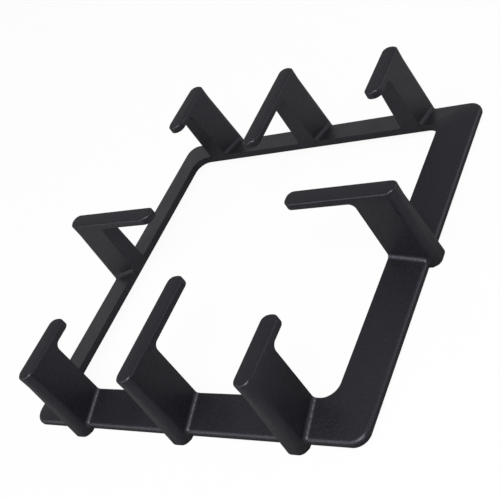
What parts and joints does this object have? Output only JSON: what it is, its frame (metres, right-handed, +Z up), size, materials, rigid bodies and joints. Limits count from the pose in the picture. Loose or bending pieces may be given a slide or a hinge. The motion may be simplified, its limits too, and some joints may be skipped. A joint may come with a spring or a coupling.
{
  "type": "hob pan support",
  "caption": "Square cast-iron pan support for a gas burner: a sloping frame on feet, with upright posts and level rails that reach in under the pan.",
  "frame": {"origin": "centre of the square frame in plan, on the plane that the feet stand on", "axes": "+Z up; +X and +Y square to two sides of the frame, with the bars of three posts at -Y and +Y"},
  "size_m": [0.2704, 0.2704, 0.0615],
  "materials": {
    "enamelled_iron": "matt black enamel over a fine cast grain"
  },
  "bodies": {
    "root": {"pan_support": "enamelled_iron"}
  },
  "joints": []
}
